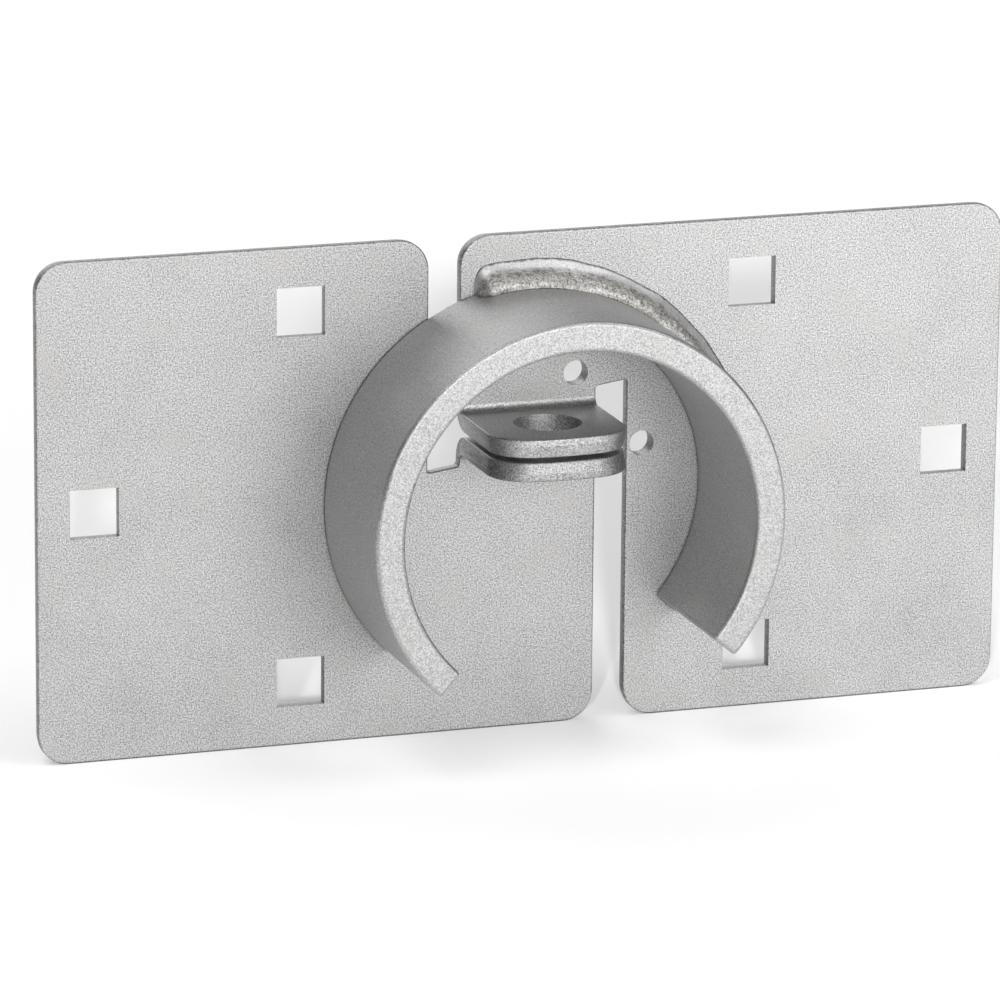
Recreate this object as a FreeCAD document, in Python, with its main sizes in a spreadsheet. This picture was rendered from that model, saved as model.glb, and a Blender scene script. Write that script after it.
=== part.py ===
import FreeCAD, Part
import math
import os

import Sketcher
from FreeCAD import Vector

# Two-leaf hasp for a round padlock with a hidden shackle, for a pair of doors that meet edge to edge.
# Each leaf is a flat steel plate with one ear bent forwards. The two ears lie one over the other, and the
# padlock's pin passes down through both. A ring of flat bar, welded to the right leaf, shrouds the padlock.
#
# Frame: +X to the right along the leaves, +Z up, and the front of the hasp faces -Y.
# The origin is on the axis of the pin hole, halfway between the two ears.

# Driving dimensions in millimetres and degrees: name, value, what it is.
DRIVING_SIZES = [
    ("plate_thickness", 4.0, "steel of both leaves and their ears"),
    ("half_width", 105.9, "middle of the hasp to the outer edge of a leaf"),
    ("half_height", 53.2, "mid-height of the leaves to their top or bottom edge"),
    ("seam_offset", 21.9, "middle of the hasp to the inner edge of a leaf's broad part"),
    ("ear_half_width", 15.0, "half the width of an ear, and how far a leaf reaches past the middle"),
    ("leaf_drop", 11.2, "pin hole's mid-point down to the mid-height of the leaves"),
    ("pin_to_leaf", 12.8, "pin hole's axis back to the front face of the leaves"),
    ("ear_gap", 1.0, "clear gap between the two ears"),
    ("ear_reach", 26.8, "front face of the leaf to the tip of its ear"),
    ("ear_corner_radius", 9.0, "rounded corners of an ear's tip"),
    ("ear_tip_radius", 55.0, "gentle bow of an ear's front edge"),
    ("bend_radius", 1.6, "inside of the bend between a leaf and its ear"),
    ("relief_depth_left", 0.9, "cut below the left ear's bend"),
    ("relief_depth_right", 2.0, "cut above the right ear's bend"),
    ("relief_slant", 1.0, "how much deeper either cut is at the seam"),
    ("corner_radius", 6.5, "rounded corners of a leaf"),
    ("relief_radius", 0.5, "inside corners of the bend reliefs"),
    ("edge_radius", 0.4, "softened edges of the sheared plate"),
    ("pin_hole_radius", 7.15, "hole for the padlock's pin in each ear"),
    ("breakout_depth", 2.5, "how deep the lean of a sheared edge is, from a leaf's back"),
    ("breakout_width", 0.5, "how far that lean takes the edge back"),
    ("bolt_square", 10.4, "side of a square hole for a carriage bolt"),
    ("bolt_inner_offset", 49.5, "middle of the hasp to the inner bolt holes"),
    ("bolt_outer_offset", 93.7, "middle of the hasp to the outer bolt hole"),
    ("bolt_rise", 39.6, "mid-height of the leaves to the inner bolt holes"),
    ("small_hole_radius", 2.7, "round holes in the right leaf, inside the ring"),
    ("small_hole_high_across", 10.5, "ring's axis across to the upper small hole"),
    ("small_hole_high_rise", 24.7, "ring's axis up to the upper small hole"),
    ("small_hole_low_across", 25.3, "ring's axis across to the lower small hole"),
    ("small_hole_low_rise", 8.5, "ring's axis up to the lower small hole"),
    ("ring_drop", 13.4, "pin hole's mid-point down to the ring's axis"),
    ("ring_outer_radius", 44.45, "outside of the shroud ring"),
    ("ring_wall", 6.35, "thickness of the ring's flat bar"),
    ("ring_depth", 36.0, "width of the ring's flat bar"),
    ("ring_end_drop_angle", 40.6, "ring's right-hand end, turned down from +X"),
    ("ring_sweep", 267.6, "turn of the ring from its right-hand end, over the top, to its left-hand end"),
    ("ring_seat_sweep", 155.0, "turn of the stretch that sits on the right leaf, from the same end"),
    ("ring_edge_radius", 0.9, "softened edges of the ring's front rim and ends"),
    ("ring_clearance", 0.4, "gap between the ring and the left leaf"),
    ("weld_leg", 5.0, "height and width of the weld bead"),
    ("weld_bulge_radius", 7.0, "rounded face of the weld bead"),
    ("weld_end_drop_angle", 38.0, "weld's lower end, turned down from +X"),
    ("weld_sweep", 142.5, "turn of the weld from its lower end, up and over, to its upper end"),
]

TINY = 1e-3
VOLUME_TOLERANCE = 1e-6


class Size:
    """A length that knows its value and the expression that ties it to the sheet."""

    def __init__(self, value, text):
        self.value = value
        self.text = text

    def __add__(self, other):
        return Size(self.value + other.value, "(" + self.text + " + " + other.text + ")")

    def __sub__(self, other):
        return Size(self.value - other.value, "(" + self.text + " - " + other.text + ")")

    def __neg__(self):
        return Size(-self.value, "(-" + self.text + ")")

    def half(self):
        return Size(self.value / 2, "(" + self.text + " / 2)")

    def signed(self, side):
        """The same length to the left (-1) or to the right (+1), or down and up."""
        return self if side > 0 else -self


document = FreeCAD.newDocument("HaspAndStaple")
sheet = document.addObject("Spreadsheet::Sheet", "Sizes")
for row, (name, value, meaning) in enumerate(DRIVING_SIZES, start=1):
    sheet.set("A" + str(row), meaning)
    sheet.set("B" + str(row), str(value))
    sheet.setAlias("B" + str(row), name)
document.recompute()

size = {name: Size(value, "Sizes." + name) for name, value, meaning in DRIVING_SIZES}
zero = Size(0.0, "0")

# Heights above the mid-height of the leaves, which is the plates' own origin.
pin_mid_rise = size["leaf_drop"]
left_ear_top = pin_mid_rise - size["ear_gap"].half()
left_ear_bottom = left_ear_top - size["plate_thickness"]
right_ear_bottom = pin_mid_rise + size["ear_gap"].half()
right_ear_top = right_ear_bottom + size["plate_thickness"]
left_relief_bottom = left_ear_bottom - size["bend_radius"] - size["relief_depth_left"]
right_relief_top = right_ear_top + size["bend_radius"] + size["relief_depth_right"]
ring_to_leaf_mid = size["ring_drop"] - size["leaf_drop"]


def new_body(name):
    body = document.addObject("PartDesign::Body", name)
    body.Label = name
    return body


def new_sketch(body, name, role, lift=None):
    """A sketch on one of the body's own origin planes, lifted off it where asked."""
    plane = next(item for item in body.Origin.OriginFeatures if item.Role == role)
    sketch = body.newObject("Sketcher::SketchObject", name)
    sketch.AttachmentSupport = [(plane, "")]
    sketch.MapMode = "FlatFace"
    if lift is not None:
        sketch.setExpression("AttachmentOffset.Base.z", lift.text)
    return sketch


def bind(sketch, kind, elements, length):
    """Adds one dimension to a sketch and ties it to the sheet."""
    index = sketch.addConstraint(Sketcher.Constraint(kind, *elements, length.value))
    sketch.setExpression("Constraints[" + str(index) + "]", length.text)


def pin_point(sketch, element, end, across, up):
    bind(sketch, "DistanceX", (-1, 1, element, end), across)
    bind(sketch, "DistanceY", (-1, 1, element, end), up)


def draw_polygon(sketch, corners):
    """A closed outline of straight lines, each corner placed from the sketch's origin."""
    points = [Vector(across.value, up.value, 0) for across, up in corners]
    first = None
    count = len(points)
    for index in range(count):
        line = sketch.addGeometry(Part.LineSegment(points[index], points[(index + 1) % count]), False)
        first = line if first is None else first
    for index in range(count):
        following = first + (index + 1) % count
        sketch.addConstraint(Sketcher.Constraint("Coincident", first + index, 2, following, 1))
    for index, (across, up) in enumerate(corners):
        pin_point(sketch, first + index, 1, across, up)


def draw_circle(sketch, across, up, radius):
    centre = Vector(across.value, up.value, 0)
    circle = sketch.addGeometry(Part.Circle(centre, Vector(0, 0, 1), radius.value), False)
    bind(sketch, "Radius", (circle,), radius)
    pin_point(sketch, circle, 3, across, up)


def draw_square(sketch, across, up, side):
    reach = side.half()
    draw_polygon(sketch, [
        (across - reach, up - reach),
        (across + reach, up - reach),
        (across + reach, up + reach),
        (across - reach, up + reach),
    ])


def draw_ear_outline(sketch):
    """An ear seen from above: straight sides, round corners and a gently bowed tip."""
    half = size["ear_half_width"]
    back = size["plate_thickness"]
    corner = size["ear_corner_radius"].value
    tip = size["ear_tip_radius"].value
    side = half.value
    corner_across = side - corner
    tip_centre_y = tip - size["ear_reach"].value
    corner_y = tip_centre_y - math.sqrt((tip - corner) ** 2 - corner_across ** 2)
    lean = math.atan2(tip_centre_y - corner_y, corner_across)
    up_axis = Vector(0, 0, 1)
    back_line = sketch.addGeometry(
        Part.LineSegment(Vector(side, back.value, 0), Vector(-side, back.value, 0)), False)
    left_side = sketch.addGeometry(
        Part.LineSegment(Vector(-side, back.value, 0), Vector(-side, corner_y, 0)), False)
    left_corner = sketch.addGeometry(Part.ArcOfCircle(
        Part.Circle(Vector(-corner_across, corner_y, 0), up_axis, corner), math.pi, math.pi + lean), False)
    front = sketch.addGeometry(Part.ArcOfCircle(
        Part.Circle(Vector(0, tip_centre_y, 0), up_axis, tip), math.pi + lean, 2 * math.pi - lean), False)
    right_corner = sketch.addGeometry(Part.ArcOfCircle(
        Part.Circle(Vector(corner_across, corner_y, 0), up_axis, corner),
        2 * math.pi - lean, 2 * math.pi), False)
    right_side = sketch.addGeometry(
        Part.LineSegment(Vector(side, corner_y, 0), Vector(side, back.value, 0)), False)
    pin_point(sketch, back_line, 1, half, back)
    pin_point(sketch, back_line, 2, -half, back)
    sketch.addConstraint(Sketcher.Constraint("Coincident", back_line, 2, left_side, 1))
    sketch.addConstraint(Sketcher.Constraint("Coincident", right_side, 2, back_line, 1))
    sketch.addConstraint(Sketcher.Constraint("Vertical", left_side))
    sketch.addConstraint(Sketcher.Constraint("Vertical", right_side))
    sketch.addConstraint(Sketcher.Constraint("Tangent", left_side, 2, left_corner, 1))
    sketch.addConstraint(Sketcher.Constraint("Tangent", left_corner, 2, front, 1))
    sketch.addConstraint(Sketcher.Constraint("Tangent", front, 2, right_corner, 1))
    sketch.addConstraint(Sketcher.Constraint("Tangent", right_corner, 2, right_side, 1))
    bind(sketch, "Radius", (left_corner,), size["ear_corner_radius"])
    bind(sketch, "Radius", (right_corner,), size["ear_corner_radius"])
    bind(sketch, "Radius", (front,), size["ear_tip_radius"])
    pin_point(sketch, front, 3, zero, size["ear_tip_radius"] - size["ear_reach"])


def add_pad(body, name, sketch, length, reverse):
    pad = body.newObject("PartDesign::Pad", name)
    pad.Profile = sketch
    pad.Reversed = reverse
    pad.setExpression("Length", length.text)
    document.recompute()


def add_cut(body, name, sketch):
    """A pocket right through the body both ways, checked by volume."""
    before = body.Shape.Volume
    pocket = body.newObject("PartDesign::Pocket", name)
    pocket.Profile = sketch
    pocket.Type = "ThroughAll"
    pocket.Midplane = True
    document.recompute()
    if before - body.Shape.Volume < VOLUME_TOLERANCE:
        raise RuntimeError(name + " cuts nothing")


def pick_edges(feature, wanted, name):
    """The feature and the names of those of its edges that the wanted test picks out."""
    edges = feature.Shape.Edges
    names = ["Edge" + str(number) for number, edge in enumerate(edges, start=1) if wanted(edge)]
    if not names:
        raise RuntimeError(name + " finds no edges")
    return feature, names


def add_fillet(body, name, wanted, radius):
    """Rounds the wanted edges of the body."""
    picked = pick_edges(body.Tip, wanted, name)
    fillet = body.newObject("PartDesign::Fillet", name)
    fillet.Base = picked
    fillet.setExpression("Radius", radius.text)
    document.recompute()


def add_breakout(body, name, wanted):
    """Cuts the wanted edges of a leaf's back away to the lean that a shear or a punch leaves."""
    back = size["plate_thickness"].value
    picked = pick_edges(body.Tip, lambda edge: is_at(edge, y=back) and wanted(edge), name)
    breakout = body.newObject("PartDesign::Chamfer", name)
    breakout.Base = picked
    breakout.ChamferType = "Two distances"
    breakout.setExpression("Size", size["breakout_width"].text)
    breakout.setExpression("Size2", size["breakout_depth"].text)
    document.recompute()


def is_straight_along(edge, axis):
    """True for a straight edge that runs along one row axis: 0, 1 or 2."""
    if edge.Curve.TypeId != "Part::GeomLine":
        return False
    run = edge.lastVertex().Point - edge.firstVertex().Point
    return abs(abs(run[axis]) - edge.Length) < TINY


def is_at(edge, **places):
    """True where the middle of the edge has the coordinates given as x, y or z."""
    middle = edge.CenterOfMass
    return all(abs(getattr(middle, axis) - place) < TINY for axis, place in places.items())


def spans_leaf_at(edge, places):
    """True for an edge from a leaf's front to its back that starts at one of the places in front."""
    ends = sorted((vertex.Point for vertex in edge.Vertexes), key=lambda point: point.y)
    if len(ends) != 2 or abs(ends[1].y - size["plate_thickness"].value) > TINY or abs(ends[0].y) > TINY:
        return False
    return any(abs(ends[0].x - x) < TINY and abs(ends[0].z - z) < TINY for x, z in places)


def leaf_outline(side, ear_outer_face, relief):
    """The leaf's outline, seen from the front.

    side is -1 for the left leaf and +1 for the right one. The broad part runs from the outer edge to the
    seam. A tongue reaches past the middle, below the left leaf's ear and above the right leaf's ear.
    """
    outer = size["half_width"].signed(side)
    seam = size["seam_offset"].signed(side)
    near = size["ear_half_width"].signed(side)
    far = size["ear_half_width"].signed(-side)
    tongue_edge = size["half_height"].signed(side)
    plain_edge = size["half_height"].signed(-side)
    relief_at_seam = relief + size["relief_slant"].signed(side)
    return [
        (outer, tongue_edge),
        (far, tongue_edge),
        (far, ear_outer_face),
        (near, ear_outer_face),
        (near, relief),
        (seam, relief_at_seam),
        (seam, plain_edge),
        (outer, plain_edge),
    ]


def build_leaf(name, side, ear_bottom, ear_outer_face, ear_inner_face, relief):
    """A leaf and its ear. The ear's outer face is outside the bend, and its inner face is inside it."""
    body = new_body(name)
    thickness = size["plate_thickness"]

    outline = new_sketch(body, name + "_outline", "XZ_Plane")
    draw_polygon(outline, leaf_outline(side, ear_outer_face, relief))
    add_pad(body, name + "_plate", outline, thickness, True)

    plan = new_sketch(body, name + "_ear_outline", "XY_Plane", ear_bottom)
    draw_ear_outline(plan)
    add_pad(body, name + "_ear", plan, thickness, False)

    inner_z = ear_inner_face.value
    outer_z = ear_outer_face.value
    back_y = thickness.value
    add_fillet(body, name + "_bend_inside",
               lambda edge: is_straight_along(edge, 0) and is_at(edge, x=0.0, y=0.0, z=inner_z),
               size["bend_radius"])
    add_fillet(body, name + "_bend_outside",
               lambda edge: is_straight_along(edge, 0) and is_at(edge, x=0.0, y=back_y, z=outer_z),
               size["bend_radius"] + thickness)

    half_width = size["half_width"].value
    half_height = size["half_height"].value
    seam = side * size["seam_offset"].value
    near = side * size["ear_half_width"].value

    corners = [
        (side * half_width, half_height),
        (side * half_width, -half_height),
        (-near, side * half_height),
        (seam, -side * half_height),
    ]
    add_fillet(body, name + "_corners",
               lambda edge: spans_leaf_at(edge, corners), size["corner_radius"])
    relief_corners = [(near, relief.value), (seam, relief.value + side * size["relief_slant"].value)]
    add_fillet(body, name + "_relief_corners",
               lambda edge: spans_leaf_at(edge, relief_corners), size["relief_radius"])
    add_breakout(body, name + "_outline_breakout",
                 lambda edge: is_at(edge, x=side * half_width) or is_at(edge, x=seam)
                 or is_at(edge, z=half_height) or is_at(edge, z=-half_height))
    return body


def soften_leaf(body, name, ear_faces):
    """Rounds the sheared edges all the way round a leaf and its ear, front and back."""
    shape = body.Tip.Shape

    def is_broad(face):
        surface = face.Surface
        if surface.TypeId == "Part::GeomCylinder":
            return abs(surface.Axis.x) > 1 - TINY
        if surface.TypeId != "Part::GeomPlane":
            return False
        on_ear = any(abs(face.CenterOfMass.z - level) < TINY for level in ear_faces)
        return abs(surface.Axis.y) > 1 - TINY or (on_ear and abs(surface.Axis.z) > 1 - TINY)

    def is_sheared(edge):
        sides = [is_broad(face) for face in shape.ancestorsOfType(edge, Part.Face)]
        return True in sides and False in sides

    add_fillet(body, name + "_edges", is_sheared, size["edge_radius"])


def cut_bolt_holes(body, name, side):
    """Three square holes: two near the ring, above and below, and one near the leaf's outer edge."""
    inner = size["bolt_inner_offset"].signed(side)
    outer = size["bolt_outer_offset"].signed(side)
    rise = size["bolt_rise"]
    sketch = new_sketch(body, name + "_bolt_squares", "XZ_Plane")
    draw_square(sketch, inner, rise, size["bolt_square"])
    draw_square(sketch, inner, -rise, size["bolt_square"])
    draw_square(sketch, outer, zero, size["bolt_square"])
    add_cut(body, name + "_bolt_holes", sketch)
    centres = [(inner.value, rise.value), (inner.value, -rise.value), (outer.value, 0.0)]
    reach = size["bolt_square"].value
    add_breakout(body, name + "_bolt_breakouts",
                 lambda edge: any(math.hypot(edge.CenterOfMass.x - x, edge.CenterOfMass.z - z) < reach
                                  for x, z in centres))


def cut_pin_hole(body, name):
    sketch = new_sketch(body, name + "_pin_circle", "XY_Plane")
    draw_circle(sketch, zero, -size["pin_to_leaf"], size["pin_hole_radius"])
    add_cut(body, name + "_pin_hole", sketch)


def cut_small_holes(body, name):
    """Two round holes in the right leaf, placed from the ring's axis."""
    sketch = new_sketch(body, name + "_small_circles", "XZ_Plane")
    for place in ("high", "low"):
        across = size["small_hole_" + place + "_across"]
        rise = size["small_hole_" + place + "_rise"] - ring_to_leaf_mid
        draw_circle(sketch, across, rise, size["small_hole_radius"])
    add_cut(body, name + "_small_holes", sketch)


def place_body(body, drop, end_drop_angle=None):
    """Sets a body's own origin on the front face of the leaves, below the pin hole."""
    turn = FreeCAD.Rotation()
    if end_drop_angle is not None:
        turn = FreeCAD.Rotation(Vector(0, 1, 0), end_drop_angle.value)
    body.Placement = FreeCAD.Placement(Vector(0, size["pin_to_leaf"].value, -drop.value), turn)
    body.setExpression("Placement.Base.y", size["pin_to_leaf"].text)
    body.setExpression("Placement.Base.z", (-drop).text)
    if end_drop_angle is not None:
        body.setExpression("Placement.Rotation.Angle", end_drop_angle.text)


def add_turn(body, name, sketch, sweep):
    """Turns a section about the ring's axis, the body's own Y, up and over from its right-hand end."""
    turned = body.newObject("PartDesign::Revolution", name)
    turned.Profile = sketch
    turned.ReferenceAxis = (sketch, ["V_Axis"])
    turned.Reversed = True
    turned.setExpression("Angle", sweep.text)
    document.recompute()


def build_ring():
    """Flat bar rolled on edge. It sits on the right leaf and stands just clear of the left one."""
    body = new_body("shroud_ring")
    outer = size["ring_outer_radius"]
    inner = outer - size["ring_wall"]
    back = -size["ring_clearance"]
    front = -size["ring_depth"]

    bar = new_sketch(body, "ring_bar_section", "XY_Plane")
    draw_polygon(bar, [(inner, back), (outer, back), (outer, front), (inner, front)])
    add_turn(body, "ring_bar", bar, size["ring_sweep"])

    seat = new_sketch(body, "ring_seat_section", "XY_Plane")
    draw_polygon(seat, [(inner, zero), (outer, zero), (outer, back), (inner, back)])
    add_turn(body, "ring_seat", seat, size["ring_seat_sweep"])

    def is_end_edge(edge):
        return is_straight_along(edge, 1) and edge.Length > size["ring_depth"].value / 2

    def is_on_rim(edge):
        return abs(edge.BoundBox.YMin - front.value) < TINY and not is_straight_along(edge, 1)

    add_fillet(body, "ring_edges",
               lambda edge: is_on_rim(edge) or is_end_edge(edge), size["ring_edge_radius"])
    place_body(body, size["ring_drop"], size["ring_end_drop_angle"])
    return body


def build_weld():
    """A fillet weld in the corner between the ring's outside and the right leaf."""
    body = new_body("weld_bead")
    root = size["ring_outer_radius"]
    toe = root + size["weld_leg"]
    crest = -size["weld_leg"]
    bulge = size["weld_bulge_radius"]
    half_chord = size["weld_leg"].value / math.sqrt(2)
    setback = math.sqrt(bulge.value ** 2 - half_chord ** 2) / math.sqrt(2)
    centre = Vector((root.value + toe.value) / 2 - setback, crest.value / 2 + setback, 0)
    crest_angle = math.atan2(crest.value - centre.y, root.value - centre.x)
    toe_angle = math.atan2(-centre.y, toe.value - centre.x)

    sketch = new_sketch(body, "weld_section", "XY_Plane")
    on_leaf = sketch.addGeometry(
        Part.LineSegment(Vector(root.value, 0, 0), Vector(toe.value, 0, 0)), False)
    face = sketch.addGeometry(Part.ArcOfCircle(
        Part.Circle(centre, Vector(0, 0, 1), bulge.value), crest_angle, toe_angle), False)
    on_ring = sketch.addGeometry(
        Part.LineSegment(Vector(root.value, crest.value, 0), Vector(root.value, 0, 0)), False)
    pin_point(sketch, on_leaf, 1, root, zero)
    pin_point(sketch, on_leaf, 2, toe, zero)
    pin_point(sketch, on_ring, 1, root, crest)
    sketch.addConstraint(Sketcher.Constraint("Coincident", on_ring, 2, on_leaf, 1))
    sketch.addConstraint(Sketcher.Constraint("Coincident", face, 1, on_ring, 1))
    sketch.addConstraint(Sketcher.Constraint("Coincident", face, 2, on_leaf, 2))
    bind(sketch, "Radius", (face,), bulge)
    add_turn(body, "weld_turn", sketch, size["weld_sweep"])
    place_body(body, size["ring_drop"], size["weld_end_drop_angle"])
    return body


def finish_leaf(body, side, ear_faces):
    name = body.Label
    soften_leaf(body, name, ear_faces)
    cut_bolt_holes(body, name, side)
    cut_pin_hole(body, name)
    place_body(body, size["leaf_drop"])


def check_document():
    """Stops if any object failed to build."""
    for item in document.Objects:
        if "Invalid" in item.State or "Error" in item.State:
            raise RuntimeError(item.Name + " failed: " + ", ".join(item.State))


def write_parts(bodies):
    os.makedirs("parts", exist_ok=True)
    for body in bodies:
        shape = body.Shape
        if shape.isNull() or not shape.isValid() or len(shape.Solids) != 1:
            raise RuntimeError(body.Label + " is not one valid solid")
        shape.exportStep(os.path.join("parts", body.Label + ".step"))
        box = shape.optimalBoundingBox(False)
        print(body.Label, round(shape.Volume), "mm3, X", round(box.XMin, 2), round(box.XMax, 2),
              "Y", round(box.YMin, 2), round(box.YMax, 2), "Z", round(box.ZMin, 2), round(box.ZMax, 2))


left_plate = build_leaf("left_plate", -1, left_ear_bottom, left_ear_top, left_ear_bottom, left_relief_bottom)
finish_leaf(left_plate, -1, (left_ear_bottom.value, left_ear_top.value))

right_plate = build_leaf(
    "right_plate", 1, right_ear_bottom, right_ear_bottom, right_ear_top, right_relief_top)
finish_leaf(right_plate, 1, (right_ear_bottom.value, right_ear_top.value))
cut_small_holes(right_plate, "right_plate")

shroud_ring = build_ring()
weld_bead = build_weld()

document.recompute()
check_document()
write_parts([left_plate, right_plate, shroud_ring, weld_bead])
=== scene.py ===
import math

import bpy
from mathutils import Matrix, Vector, noise


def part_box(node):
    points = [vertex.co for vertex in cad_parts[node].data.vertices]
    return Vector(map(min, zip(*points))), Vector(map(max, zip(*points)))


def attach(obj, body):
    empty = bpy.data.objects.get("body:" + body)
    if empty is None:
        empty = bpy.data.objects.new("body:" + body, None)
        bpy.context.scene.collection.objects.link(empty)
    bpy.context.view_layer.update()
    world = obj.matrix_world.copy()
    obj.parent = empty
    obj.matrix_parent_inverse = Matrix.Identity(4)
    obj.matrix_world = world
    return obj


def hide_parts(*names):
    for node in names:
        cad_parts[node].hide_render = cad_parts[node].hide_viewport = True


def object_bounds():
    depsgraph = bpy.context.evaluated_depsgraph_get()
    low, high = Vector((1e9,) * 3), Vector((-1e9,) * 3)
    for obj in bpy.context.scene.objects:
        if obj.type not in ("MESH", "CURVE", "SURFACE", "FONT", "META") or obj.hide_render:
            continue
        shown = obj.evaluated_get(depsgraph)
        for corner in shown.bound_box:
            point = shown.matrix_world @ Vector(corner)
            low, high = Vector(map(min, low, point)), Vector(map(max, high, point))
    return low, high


# A two-leaf hasp of zinc-plated steel: the CAD leaves and ring with their real surface, a rippled weld bead
# in place of the plain one, and a pale studio floor. Lengths are in metres, angles in degrees.

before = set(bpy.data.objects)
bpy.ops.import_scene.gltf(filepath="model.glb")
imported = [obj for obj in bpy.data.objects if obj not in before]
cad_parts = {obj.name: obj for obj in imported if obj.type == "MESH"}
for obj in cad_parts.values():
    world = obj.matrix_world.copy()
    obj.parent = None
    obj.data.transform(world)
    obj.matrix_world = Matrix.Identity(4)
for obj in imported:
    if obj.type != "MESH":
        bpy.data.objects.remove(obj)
cad_low, cad_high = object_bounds()

MM = 0.001

# Places taken from the frame.
ring_low, ring_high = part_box("shroud_ring")
ring_radius = (ring_high.x - ring_low.x) / 2
ring_axis_z = ring_high.z - ring_radius
leaf_front = ring_high.y

# Camera: a long lens, a little to the left of the hasp and above it, aimed close to the ring's axis.
CAMERA_AZIMUTH = -18.59
CAMERA_ELEVATION = 14.81
CAMERA_ROLL = 0.50
CAMERA_DISTANCE = 1.4994
CAMERA_ASIDE = -5.67 * MM
CAMERA_RISE = -1.90 * MM
LENS_MM = 257.9
SENSOR_MM = 36.0

# Studio: soft lamps far away, each with its name, azimuth, elevation, spread and strength.
FAR_LAMPS = [
    ("front_left", -12.0, 8.0, 32.0, 0.77),
    ("front", 4.0, 8.0, 32.0, 0.62),
    ("right_high", 60.0, 54.0, 36.0, 0.80),
    ("left_high", -55.0, 64.0, 36.0, 0.90),
    ("back_high", -167.0, 42.0, 50.0, 0.92),
]
# One lamp is near, so that it lights the top of the hasp more than the foot.
# Its name, azimuth, elevation, distance, width and power.
NEAR_LAMP = ("front_right", 24.0, 14.0, 0.8, 0.42, 1.8)
# These far lamps light the floor alone, and the hasp's shadows from them lie behind the leaves.
FLOOR_LAMPS = [
    ("floor_front", -17.0, 14.2, 2.5, 2.60),
    ("floor_left", -24.7, 14.0, 2.5, 2.10),
]
# This far lamp lights the leaves alone, from behind.
LEAF_LAMPS = [
    ("back", 172.0, 14.0, 40.0, 0.60),
]
FLOOR_SIZE = 12.0
FLOOR_LEVEL = 0.89
# The world's strength where it is seen, and as a light.
SEEN_WORLD = 1.0
LIT_WORLD = 0.06

# Noise keeps within these two values, but for a few peaks.
NOISE_LOW, NOISE_HIGH = 0.3, 0.7

# Metal: the sizes of its clouds, warm patches, mottling and drawn lines, and how warm and how uneven it is.
CLOUD = 16 * MM
WARM_PATCH = 11 * MM
MOTTLE = 1.5 * MM
DRAWN_LINE = 0.3 * MM
DRAWN_LENGTH = 5.0 * MM
WARMTH = 0.035
GLOSS_SPREAD = 0.07
# Its level where it was sheared (partly bare cut steel, partly painted shade), where an ear's rim begins in
# front of the leaf, and the depth of crevices given painted shade, and that painted shade's level.
SHEARED_AND_SHADE_LEVEL = 0.62
EAR_BEND = 7.0 * MM
CREVICE_SHADE_DEPTH = 0.7 * MM
CREVICE_SHADE_LEVEL = 0.2

# Weld bead. Angles turn up from +X about the ring's axis, as seen from the front.
WELD_START = -38.0
WELD_END = 105.2
WELD_CREST = 4.8 * MM
WELD_LEG_START = 4.5 * MM
WELD_LEG_END = 5.6 * MM
WELD_SINK = 0.05 * MM
WELD_ROW_STEP = 0.2 * MM
WELD_END_LENGTH = 3.4 * MM
# The section from the ring to the leaf: share of the leg outwards, share of the crest forwards.
WELD_SECTION = [(0.0, 1.0), (0.22, 0.98), (0.46, 0.80), (0.61, 0.52), (0.70, 0.32), (0.84, 0.14), (1.0, 0.0)]
WELD_SECTION_STEPS = 4
WELD_RIPPLED_SHARE = 0.62
WELD_RIPPLE_PITCH = 1.7 * MM
WELD_RIPPLE_HEIGHT = 0.05 * MM
WELD_RIPPLE_LAG = 1.3
WELD_LUMP = 0.35 * MM
WELD_LUMP_LENGTH = 6.0 * MM
WELD_GRAIN = 0.4 * MM
WELD_GRAIN_HEIGHT = 0.06 * MM
WELD_BLOTCH = 1.4 * MM


def add_node(tree, kind, inputs=None, **settings):
    """A shader node. An input is a plain value or the output socket that feeds it."""
    node = tree.nodes.new("ShaderNode" + kind)
    for name, value in settings.items():
        setattr(node, name, value)
    for name, value in (inputs or {}).items():
        if isinstance(value, bpy.types.NodeSocket):
            tree.links.new(value, node.inputs[name])
        else:
            node.inputs[name].default_value = value
    return node


def add_math(tree, operation, first, second=0.0):
    return add_node(tree, "Math", {0: first, 1: second}, operation=operation).outputs["Value"]


def add_range(tree, value, low, high, start, end):
    """The value stretched from one range to another, and held at its ends."""
    inputs = {"Value": value, "From Min": low, "From Max": high, "To Min": start, "To Max": end}
    return add_node(tree, "MapRange", inputs).outputs["Result"]


def swing(tree, noise_value, reach):
    """Noise stretched to run that far below and above zero."""
    return add_range(tree, noise_value, NOISE_LOW, NOISE_HIGH, -reach, reach)


def add_mix(tree, share, first, second):
    """A blend of two colours. Sockets 6 and 7 are the colour ones of the Mix node."""
    return add_node(tree, "Mix", {0: share, 6: first, 7: second}, data_type="RGBA").outputs[2]


def add_noise(tree, place, feature, detail=2.0, rough=0.5):
    """Even noise whose blotches are about one feature across."""
    inputs = {"Vector": place, "Scale": 1.0 / feature, "Detail": detail, "Roughness": rough}
    return add_node(tree, "TexNoise", inputs).outputs["Fac"]


def stretched(tree, place, x, y, z):
    """The place with each axis scaled, so that noise on it draws out along the short ones."""
    return add_node(tree, "Mapping", {"Vector": place, "Scale": (x, y, z)}).outputs["Vector"]


def grey(level, warmth=0.0):
    """A neutral grey, or with some warmth a brownish one."""
    return (level * (1 + warmth), level, level * (1 - 1.5 * warmth), 1.0)


def new_material(name):
    material = bpy.data.materials.new(name)
    material.use_nodes = True
    material.node_tree.nodes.clear()
    return material, material.node_tree


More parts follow.
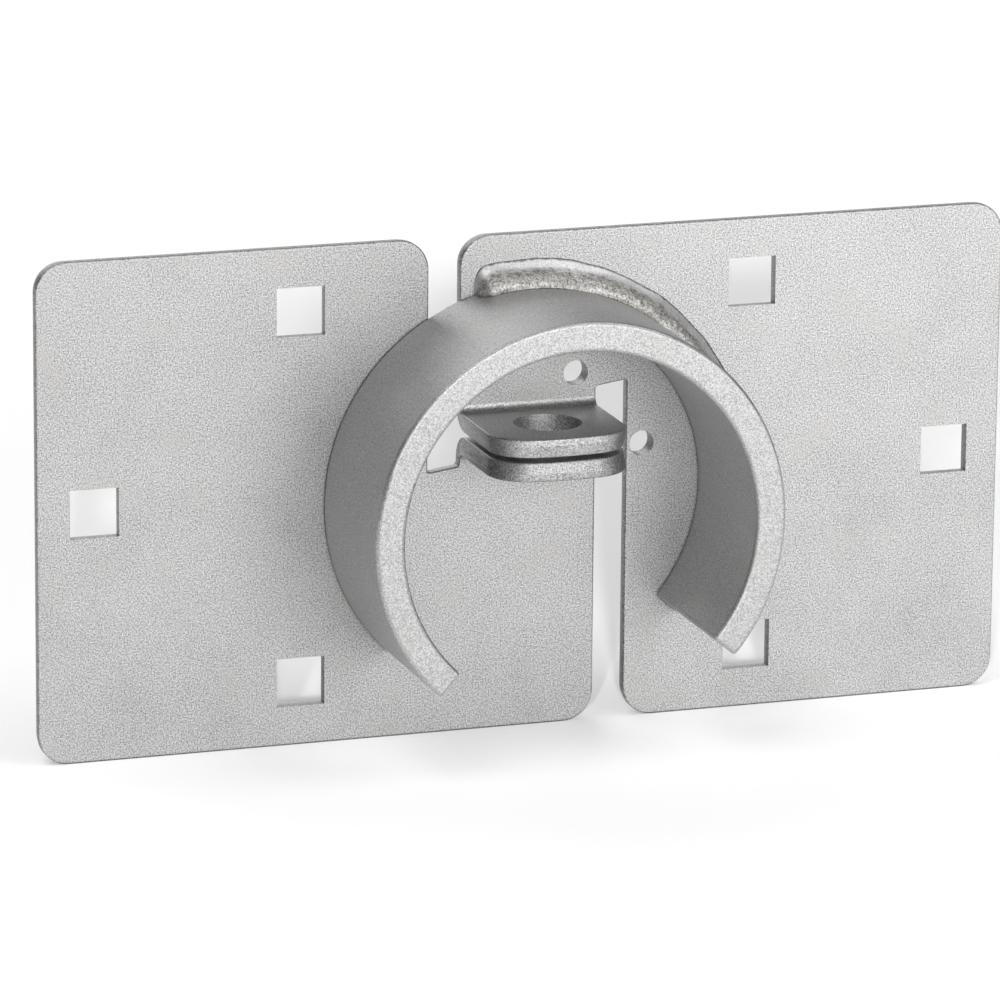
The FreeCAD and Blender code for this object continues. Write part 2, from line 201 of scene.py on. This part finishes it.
def finish_metal(tree, colour, gloss, height, depth):
    """Ends a metal's nodes: its colour, its roughness, and a relief that is depth high."""
    relief = add_node(tree, "Bump", {"Height": height, "Strength": 1.0, "Distance": depth})
    shader = add_node(tree, "BsdfPrincipled", {
        "Base Color": colour, "Roughness": gloss, "Normal": relief.outputs["Normal"], "Metallic": 1.0})
    add_node(tree, "OutputMaterial", {"Surface": shader.outputs["BSDF"]})


def plated_steel(name, level, roughness, grain, contrast, relief):
    """Zinc-plated steel: cloudy and finely speckled, darker where sheared (partly painted shade) and in
    crevices (painted shade).
    """
    material, tree = new_material(name)
    place = add_node(tree, "TexCoord").outputs["Object"]
    sheared = add_node(tree, "Attribute", attribute_name="sheared").outputs["Fac"]
    cloud = add_noise(tree, place, CLOUD, 3.0, 0.55)
    mottle = add_noise(tree, place, MOTTLE, 2.0, 0.6)
    speckle = add_noise(tree, place, grain, 1.0, 0.6)
    warm = add_range(tree, add_noise(tree, place, WARM_PATCH, 2.0), 0.56, 0.72, 0.0, 0.35)
    drawn = add_noise(tree, stretched(tree, place, 1.0, DRAWN_LINE / DRAWN_LENGTH, 1.0), DRAWN_LINE, 1.0)
    lines = add_math(tree, "MULTIPLY", sheared, swing(tree, drawn, 0.6))

    tone = add_math(tree, "ADD", swing(tree, cloud, 0.15), swing(tree, mottle, 0.12))
    tone = add_math(tree, "ADD", tone, swing(tree, speckle, 1.2))
    tone = add_range(tree, add_math(tree, "ADD", tone, lines), -1.5, 1.5, 0.0, 1.0)
    colour = add_mix(tree, tone, grey(level * (1 - contrast)), grey(level * (1 + contrast)))
    colour = add_mix(tree, warm, colour, grey(level, WARMTH))

    # Painted shade: sheared faces are darkened, partly for the bare cut steel and partly as shade; ear rims
    # only as shade.
    edge_shade_level = add_range(tree, sheared, 0.0, 1.0, 1.0, SHEARED_AND_SHADE_LEVEL)
    # Painted shade in crevices and between parts, from ambient occlusion.
    openness = add_node(tree, "AmbientOcclusion", {"Distance": CREVICE_SHADE_DEPTH}, samples=6).outputs["AO"]
    crevice_shade_level = add_range(tree, openness, 0.3, 0.9, CREVICE_SHADE_LEVEL, 1.0)
    edge_and_crevice_shade = add_math(tree, "MULTIPLY", edge_shade_level, crevice_shade_level)
    colour = add_node(tree, "VectorMath", {0: colour, "Scale": edge_and_crevice_shade}, operation="SCALE").outputs["Vector"]

    gloss = add_range(tree, add_math(tree, "ADD", mottle, cloud), 2 * NOISE_LOW, 2 * NOISE_HIGH,
                      roughness - GLOSS_SPREAD, roughness + GLOSS_SPREAD)
    height = add_math(tree, "ADD", speckle, add_math(tree, "MULTIPLY", mottle, 1.2))
    height = add_math(tree, "ADD", height, lines)
    finish_metal(tree, colour, gloss, height, relief)
    return material


def weld_metal():
    """Rippled weld: brownish on the ring's side, smooth and grey on the leaf's side, and dark at its toe."""
    material, tree = new_material("weld_bead_metal")
    place = add_node(tree, "TexCoord").outputs["Object"]
    band = add_node(tree, "Attribute", attribute_name="to_leaf").outputs["Fac"]
    grain = add_noise(tree, place, WELD_GRAIN, 1.0, 0.6)
    blotch = add_noise(tree, place, WELD_BLOTCH, 2.0, 0.6)
    smooth_share = add_range(tree, add_math(tree, "ADD", band, swing(tree, blotch, 0.1)),
                             WELD_RIPPLED_SHARE - 0.06, WELD_RIPPLED_SHARE + 0.06, 0.0, 1.0)
    toe_share = add_range(tree, add_math(tree, "ADD", band, swing(tree, blotch, 0.03)), 0.90, 0.97, 0.0, 1.0)

    tone = add_math(tree, "ADD", add_range(tree, grain, NOISE_LOW, NOISE_HIGH, 0.0, 0.8),
                    add_range(tree, blotch, NOISE_LOW, NOISE_HIGH, 0.0, 0.2))
    brown = add_mix(tree, tone, grey(0.14, 0.06), grey(0.66, 0.02))
    plain = add_mix(tree, tone, grey(0.50), grey(0.78))
    colour = add_mix(tree, toe_share, add_mix(tree, smooth_share, brown, plain), grey(0.14))

    gloss = add_range(tree, smooth_share, 0.0, 1.0, 0.55, 0.5)
    height = add_math(tree, "MULTIPLY", grain, add_range(tree, smooth_share, 0.0, 1.0, 1.0, 0.3))
    finish_metal(tree, colour, gloss, height, WELD_GRAIN_HEIGHT)
    return material


def pale_floor():
    material, tree = new_material("pale_floor")
    shader = add_node(tree, "BsdfPrincipled", {"Base Color": grey(FLOOR_LEVEL), "Roughness": 0.9})
    add_node(tree, "OutputMaterial", {"Surface": shader.outputs["BSDF"]})
    return material


def mark_sheared(leaf, ear_shade_share):
    """Marks the faces that cross a leaf's thickness, and by a share of that those round its ear's tip; on
    the ear the mark is painted shade.
    """
    turn = leaf.matrix_world.to_3x3()
    marks = []
    for face in leaf.data.polygons:
        normal = turn @ face.normal
        y = (leaf.matrix_world @ face.center).y
        round_ear = y < leaf_front - EAR_BEND and abs(normal.z) < 0.6
        crosses = y > leaf_front and abs(normal.y) < 0.6
        marks.append(1.0 if crosses else ear_shade_share if round_ear else 0.0)
    leaf.data.attributes.new("sheared", "FLOAT", "FACE").data.foreach_set("value", marks)


def cover(piece, material):
    """Gives a piece one material all over."""
    if not piece.material_slots:
        piece.data.materials.append(material)
    for slot in piece.material_slots:
        slot.material = material


def add_mesh(name, points, faces):
    mesh = bpy.data.meshes.new(name)
    mesh.from_pydata(points, [], faces)
    piece = bpy.data.objects.new(name, mesh)
    bpy.context.scene.collection.objects.link(piece)
    return piece


def smooth_through(points, steps):
    """Points of a smooth curve through a short list, with that many steps between neighbours."""
    ends = [points[0]] + points + [points[-1]]
    curve = []
    for index in range(len(points) - 1):
        before, start, end, after = (Vector(point) for point in ends[index:index + 4])
        for step in range(steps):
            t = step / steps
            bend = 2 * before - 5 * start + 4 * end - after
            twist = 3 * start - before - 3 * end + after
            curve.append(start + 0.5 * ((end - before) * t + bend * t ** 2 + twist * t ** 3))
    curve.append(Vector(points[-1]))
    return curve


def ripple(along, share):
    """Height of the stacked crescents at a place along the bead and across it, from -1 to 1."""
    across = min(share / WELD_RIPPLED_SHARE, 1.0)
    lag = WELD_RIPPLE_LAG * (1 - (2 * across - 1) ** 2)
    drift = 0.8 * noise.noise(Vector((along / (5 * WELD_RIPPLE_PITCH), 0.0, 3.0)))
    turn = along / WELD_RIPPLE_PITCH + lag + drift
    rise = turn % 1.0
    fade = max(0.0, 1 - (share / WELD_RIPPLED_SHARE) ** 6)
    return fade * (math.sin(math.pi * rise ** 0.6) * 2 - 1)


def weld_row(along, length, section):
    """One section of the bead, placed at its angle: the face from ring to leaf, then the hidden root."""
    share_along = along / length
    angle = math.radians(WELD_START + (WELD_END - WELD_START) * share_along)
    from_end = min(along, length - along) / WELD_END_LENGTH
    fullness = math.sqrt(max(0.0, 1 - max(0.0, 1 - from_end) ** 2))
    leg = WELD_LEG_START + (WELD_LEG_END - WELD_LEG_START) * share_along
    outward = Vector((math.cos(angle), 0.0, math.sin(angle)))
    slow = Vector((along / WELD_LUMP_LENGTH, 0.0, 0.0))
    points = []
    for share, forward in section:
        lump = WELD_LUMP * noise.noise(slow + Vector((0.0, 1.4 * share, 0.0)))
        crown = math.sin(math.pi * min(1.0, share + 0.08))
        swell = 0.7 * crown * (WELD_RIPPLE_HEIGHT * ripple(along, share) + lump)
        reach = ((leg + lump) * share + swell) * fullness
        rise = ((WELD_CREST + lump * (1 - share)) * forward + swell) * fullness
        points.append((ring_radius - WELD_SINK + reach, leaf_front + WELD_SINK - rise))
    points.append((ring_radius - WELD_SINK, leaf_front + WELD_SINK))
    return [outward * radius + Vector((0.0, y, ring_axis_z)) for radius, y in points]


def make_weld():
    """The bead in the corner between the ring's outside and the right leaf, as a closed, rippled solid."""
    section = [tuple(point) for point in smooth_through(WELD_SECTION, WELD_SECTION_STEPS)]
    length = math.radians(WELD_END - WELD_START) * (ring_radius + WELD_LEG_START / 2)
    count = round(length / WELD_ROW_STEP)
    points = []
    for row in range(count + 1):
        points += weld_row(length * row / count, length, section)
    width = len(section) + 1
    faces = []
    for row in range(count):
        for column in range(width):
            after = (column + 1) % width
            here = row * width
            faces.append((here + column, here + after, here + width + after, here + width + column))
    faces.append(tuple(reversed(range(width))))
    faces.append(tuple(range(count * width, (count + 1) * width)))
    bead = add_mesh("rippled_weld", points, faces)
    for face in bead.data.polygons:
        face.use_smooth = True
    bands = bead.data.attributes.new("to_leaf", "FLOAT", "POINT")
    shares = [share for share, forward in section] + [0.0]
    bands.data.foreach_set("value", shares * (count + 1))
    cover(bead, weld_metal())
    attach(bead, "right_half")
    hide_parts("weld_bead")


def make_floor():
    half = FLOOR_SIZE / 2
    corners = [(-half, -half), (half, -half), (half, half), (-half, half)]
    floor = add_mesh("floor", [(x, y, cad_low.z) for x, y in corners], [(0, 1, 2, 3)])
    cover(floor, pale_floor())
    return floor


def direction(azimuth, elevation):
    """The way from the hasp to something seen at that azimuth and elevation."""
    turn, lift = math.radians(azimuth), math.radians(elevation)
    return Vector((math.sin(turn) * math.cos(lift), -math.cos(turn) * math.cos(lift), math.sin(lift)))


def make_world():
    """Pale where it is seen, and dim as a light, so that the lamps shape the metal."""
    world = bpy.data.worlds.new("pale_world")
    world.use_nodes = True
    tree = world.node_tree
    tree.nodes.clear()
    seen = add_node(tree, "LightPath").outputs["Is Camera Ray"]
    strength = add_range(tree, seen, 0.0, 1.0, LIT_WORLD, SEEN_WORLD)
    background = add_node(tree, "Background", {"Strength": strength})
    background.inputs["Color"].default_value = (1.0, 1.0, 1.0, 1.0)
    add_node(tree, "OutputWorld", {"Surface": background.outputs["Background"]})
    bpy.context.scene.world = world


def add_lamp(name, light, azimuth, elevation, distance=0.0):
    """Points a light at the hasp from that azimuth and elevation. A sun needs no distance."""
    toward = direction(azimuth, elevation)
    lamp = bpy.data.objects.new(name, light)
    bpy.context.scene.collection.objects.link(lamp)
    lamp.location = toward * distance
    lamp.rotation_mode = "QUATERNION"
    lamp.rotation_quaternion = toward.to_track_quat("Z", "Y")
    return lamp


def add_far_lamp(name, azimuth, elevation, spread, strength):
    light = bpy.data.lights.new(name, "SUN")
    light.energy = strength
    light.angle = math.radians(spread)
    return add_lamp(name, light, azimuth, elevation)


def add_near_lamp(name, azimuth, elevation, distance, width, power):
    light = bpy.data.lights.new(name, "AREA")
    light.shape = "DISK"
    light.size = width
    light.energy = power
    lamp = add_lamp(name, light, azimuth, elevation, distance)
    lamp.visible_camera = False


def make_lamps(floor):
    for settings in FAR_LAMPS:
        add_far_lamp(*settings)
    add_near_lamp(*NEAR_LAMP)
    leaves = [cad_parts["left_plate"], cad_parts["right_plate"]]
    for lamps, pieces in ((FLOOR_LAMPS, [floor]), (LEAF_LAMPS, leaves)):
        for settings in lamps:
            lamp = add_far_lamp(*settings)
            lit = bpy.data.collections.new("lit_by_" + lamp.name)
            for piece in pieces:
                lit.objects.link(piece)
            lamp.light_linking.receiver_collection = lit


def make_camera():
    roll = math.radians(CAMERA_ROLL)
    back = direction(CAMERA_AZIMUTH, CAMERA_ELEVATION)
    level_right = Vector((0.0, 0.0, 1.0)).cross(back).normalized()
    level_up = back.cross(level_right)
    right = level_right * math.cos(roll) + level_up * math.sin(roll)
    up = level_up * math.cos(roll) - level_right * math.sin(roll)
    lens = bpy.data.cameras.new("camera")
    lens.lens = LENS_MM
    lens.sensor_width = SENSOR_MM
    lens.clip_start = CAMERA_DISTANCE / 100
    lens.clip_end = FLOOR_SIZE * 2
    camera = bpy.data.objects.new("camera", lens)
    bpy.context.scene.collection.objects.link(camera)
    aim = Vector((0.0, leaf_front, ring_axis_z))
    place = aim + back * CAMERA_DISTANCE + right * CAMERA_ASIDE + up * CAMERA_RISE
    turn = Matrix((right, up, back)).transposed()
    camera.matrix_world = Matrix.Translation(place) @ turn.to_4x4()
    bpy.context.scene.camera = camera


# Each steel's name, level, roughness, grain size, contrast and relief.
# The leaves are one steel: the right one is set lighter than the left as painted light.
left_steel = plated_steel("left_leaf_zinc_shaded", 0.407, 0.50, 0.32 * MM, 0.62, 0.025 * MM)
right_steel = plated_steel("right_leaf_zinc_lit", 0.432, 0.50, 0.32 * MM, 0.62, 0.025 * MM)
bar_steel = plated_steel("bar_zinc", 0.438, 0.50, 0.30 * MM, 0.42, 0.012 * MM)
# Each leaf, and how much of the sheared faces' darkening its ear's rim gets, as painted shade.
for name, steel, ear_shade_share in (("left_plate", left_steel, 0.55), ("right_plate", right_steel, 0.1)):
    mark_sheared(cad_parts[name], ear_shade_share)
    cover(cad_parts[name], steel)
cover(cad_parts["shroud_ring"], bar_steel)
make_weld()

make_lamps(make_floor())
make_world()
make_camera()
bpy.context.scene.view_settings.view_transform = "Standard"
